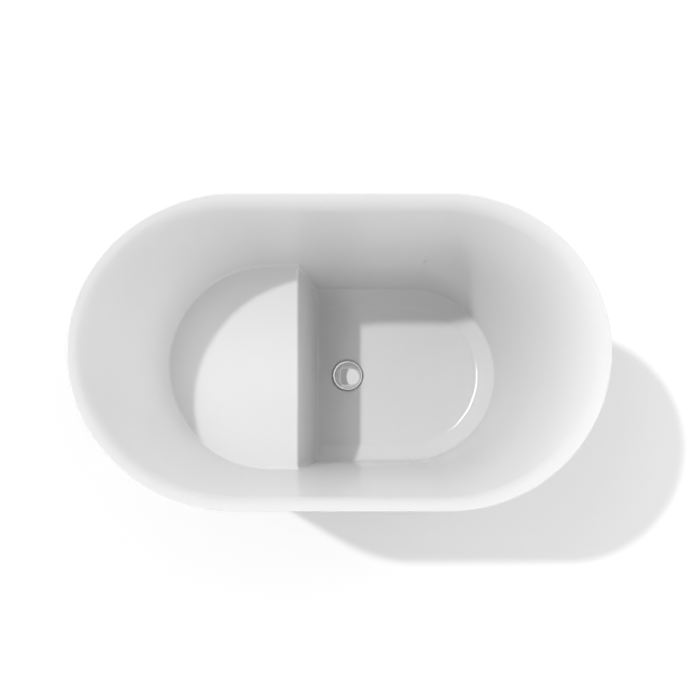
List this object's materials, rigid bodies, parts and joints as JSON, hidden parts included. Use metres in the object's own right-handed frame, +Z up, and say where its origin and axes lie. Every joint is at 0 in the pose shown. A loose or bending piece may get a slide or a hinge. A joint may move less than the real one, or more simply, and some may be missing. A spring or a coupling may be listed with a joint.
{
  "type": "sit-in bathtub",
  "caption": "Short deep free-standing oval acrylic bathtub with a moulded seat at one end, a foot well, a lift-up waste and levelling feet.",
  "frame": {"origin": "on the floor under the middle of the rim", "axes": "+X to the foot end, +Y to the far side, +Z up"},
  "size_m": [1.2, 0.7, 0.6],
  "materials": {
    "acrylic": "white glossy sanitary acrylic",
    "bond": "white cured adhesive",
    "board": "plywood board",
    "frame_steel": "grey coated square tube",
    "zinc": "zinc plated steel",
    "pad_rubber": "black hard rubber",
    "chrome": "polished chrome plate",
    "brass": "turned brass",
    "spring_steel": "stainless spring wire",
    "seal_rubber": "black sealing rubber",
    "pipe_plastic": "white waste pipe plastic"
  },
  "bodies": {
    "tub": {"inner_shell": "acrylic", "outer_skirt": "acrylic", "rim_bond": "bond", "floor_board": "board", "seat_board": "board", "near_rail": "frame_steel", "far_rail": "frame_steel", "seat_end_cross": "frame_steel", "seat_front_cross": "frame_steel", "well_cross": "frame_steel", "foot_end_cross": "frame_steel", "seat_post_1": "frame_steel", "seat_post_2": "frame_steel", "seat_post_3": "frame_steel", "seat_post_4": "frame_steel", "skirt_brackets": "frame_steel", "foot_bushes": "zinc", "foot_lock_nuts": "zinc", "bracket_bolts": "zinc", "board_screws": "zinc", "plate_screws": "zinc", "drain_body": "chrome", "back_nut": "brass", "valve_sleeve": "brass", "cap_spring": "spring_steel", "flange_washer": "seal_rubber", "lower_washer": "seal_rubber", "tail_seal": "seal_rubber", "tail_pipe": "pipe_plastic", "tail_nut": "pipe_plastic"},
    "waste_cap": {"drain_cap": "chrome", "cap_seal": "seal_rubber", "cap_stem": "brass"},
    "foot_1": {"foot_stud_1": "zinc", "foot_pad_1": "pad_rubber"},
    "foot_2": {"foot_stud_2": "zinc", "foot_pad_2": "pad_rubber"},
    "foot_3": {"foot_stud_3": "zinc", "foot_pad_3": "pad_rubber"},
    "foot_4": {"foot_stud_4": "zinc", "foot_pad_4": "pad_rubber"},
    "foot_5": {"foot_stud_5": "zinc", "foot_pad_5": "pad_rubber"}
  },
  "joints": [
    {"name": "cap_lift", "type": "slide", "parent": "tub", "child": "waste_cap", "axis": [0, 0, 1], "range_m": [0, 0.009], "deforming": ["cap_spring"]},
    {"name": "foot_1_height", "type": "slide", "parent": "tub", "child": "foot_1", "axis": [0, 0, 1], "range_m": [-0.015, 0.006]},
    {"name": "foot_2_height", "type": "slide", "parent": "tub", "child": "foot_2", "axis": [0, 0, 1], "range_m": [-0.015, 0.006]},
    {"name": "foot_3_height", "type": "slide", "parent": "tub", "child": "foot_3", "axis": [0, 0, 1], "range_m": [-0.015, 0.006]},
    {"name": "foot_4_height", "type": "slide", "parent": "tub", "child": "foot_4", "axis": [0, 0, 1], "range_m": [-0.015, 0.006]},
    {"name": "foot_5_height", "type": "slide", "parent": "tub", "child": "foot_5", "axis": [0, 0, 1], "range_m": [-0.015, 0.006]}
  ]
}
